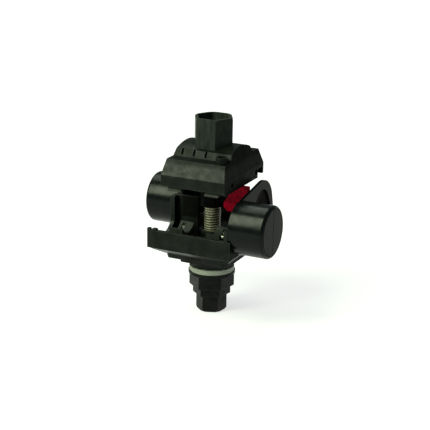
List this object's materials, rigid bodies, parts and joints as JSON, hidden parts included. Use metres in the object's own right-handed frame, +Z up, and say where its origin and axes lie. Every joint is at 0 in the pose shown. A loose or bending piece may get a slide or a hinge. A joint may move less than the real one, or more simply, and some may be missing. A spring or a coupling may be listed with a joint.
{
  "type": "insulation piercing connector",
  "caption": "Bolted two-jaw connector that joins two insulated cables side by side: toothed blades pierce the insulation as a shear nut draws the moulded jaws together, with rubber end caps.",
  "frame": {"origin": "on the bolt axis at the lower end of the shear nut", "axes": "+Z up along the bolt from the nut to the hexagonal tube, +X along the cables towards the end with the eyelet flange, +Y across from the front channel to the rear channel"},
  "size_m": [0.0754, 0.052, 0.0966],
  "materials": {
    "jaw": "satin black glass-filled polyamide",
    "zinc_steel": "yellowish zinc",
    "pale_plastic": "pale grey-white",
    "nut_plastic": "black",
    "cap_rubber": "satin black elastomer",
    "seal_rubber": "dark elastomer",
    "red_plastic": "red",
    "tinned_blade": "tinned"
  },
  "bodies": {
    "lower": {"lower_jaw": "jaw", "thrust_washer": "pale_plastic", "lower_blade_left": "tinned_blade", "lower_blade_right": "tinned_blade", "lower_seal_front_left": "seal_rubber", "lower_seal_front_right": "seal_rubber", "lower_seal_rear_left": "seal_rubber", "lower_seal_rear_right": "seal_rubber"},
    "upper": {"upper_jaw": "jaw", "bolt": "zinc_steel", "head_washer": "zinc_steel", "guide_key": "red_plastic", "upper_blade_left": "tinned_blade", "upper_blade_right": "tinned_blade", "upper_seal_front_left": "seal_rubber", "upper_seal_front_right": "seal_rubber", "upper_seal_rear_left": "seal_rubber", "upper_seal_rear_right": "seal_rubber"},
    "nut": {"shear_nut": "nut_plastic"},
    "right_cap": {"right_end_cap": "cap_rubber"},
    "left_cap": {"left_end_cap": "cap_rubber"}
  },
  "joints": [
    {"name": "nut_turn", "type": "hinge", "parent": "lower", "child": "nut", "pos_m": [0, 0, 0.0102], "axis": [0, 0, 1], "range_deg": [0, 3456]},
    {"name": "jaw_close", "type": "slide", "parent": "lower", "child": "upper", "axis": [0, 0, -1], "range_m": [0, 0.012]},
    {"name": "right_cap_pull", "type": "slide", "parent": "lower", "child": "right_cap", "axis": [1, 0, 0], "range_m": [0, 0.025]},
    {"name": "left_cap_pull", "type": "slide", "parent": "lower", "child": "left_cap", "axis": [-1, 0, 0], "range_m": [0, 0.025]}
  ],
  "couplings": [
    {"joint": "nut_turn", "follows": "jaw_close", "rad_per_m": 5026.5}
  ]
}
